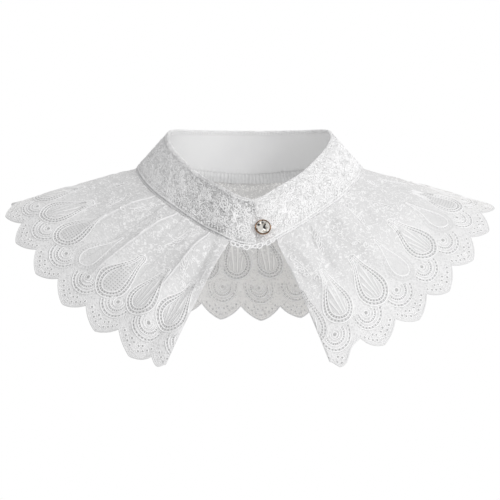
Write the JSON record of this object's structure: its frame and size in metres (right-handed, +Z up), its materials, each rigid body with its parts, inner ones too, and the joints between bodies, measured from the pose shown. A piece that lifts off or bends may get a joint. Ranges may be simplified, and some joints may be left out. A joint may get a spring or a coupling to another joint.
{
  "type": "detachable lace collar",
  "caption": "Detachable collar of white embroidered cotton: a flaring stand band closed by a jewelled button, with a scalloped cape that lies over the shoulders.",
  "frame": {"origin": "middle of the neck seam, where the collar sits round the neck", "axes": "+Z up along the neck, -Y to the front where the collar opens, +X across the shoulders to the wearer's left"},
  "size_m": [0.3729, 0.2275, 0.1744],
  "materials": {
    "embroidered_cotton": "white cotton lawn with raised white embroidery and eyelets, matt",
    "plain_cotton": "plain white cotton, matt",
    "rose_gold": "darkened rose gold, polished on its edge",
    "clear_stone": "faceted clear glass with a mirrored back"
  },
  "bodies": {
    "root": {"cape": "embroidered_cotton", "stand_band": "embroidered_cotton", "band_facing": "plain_cotton", "button_rim": "rose_gold", "button_stone": "clear_stone", "button_loop": "plain_cotton"}
  },
  "joints": []
}
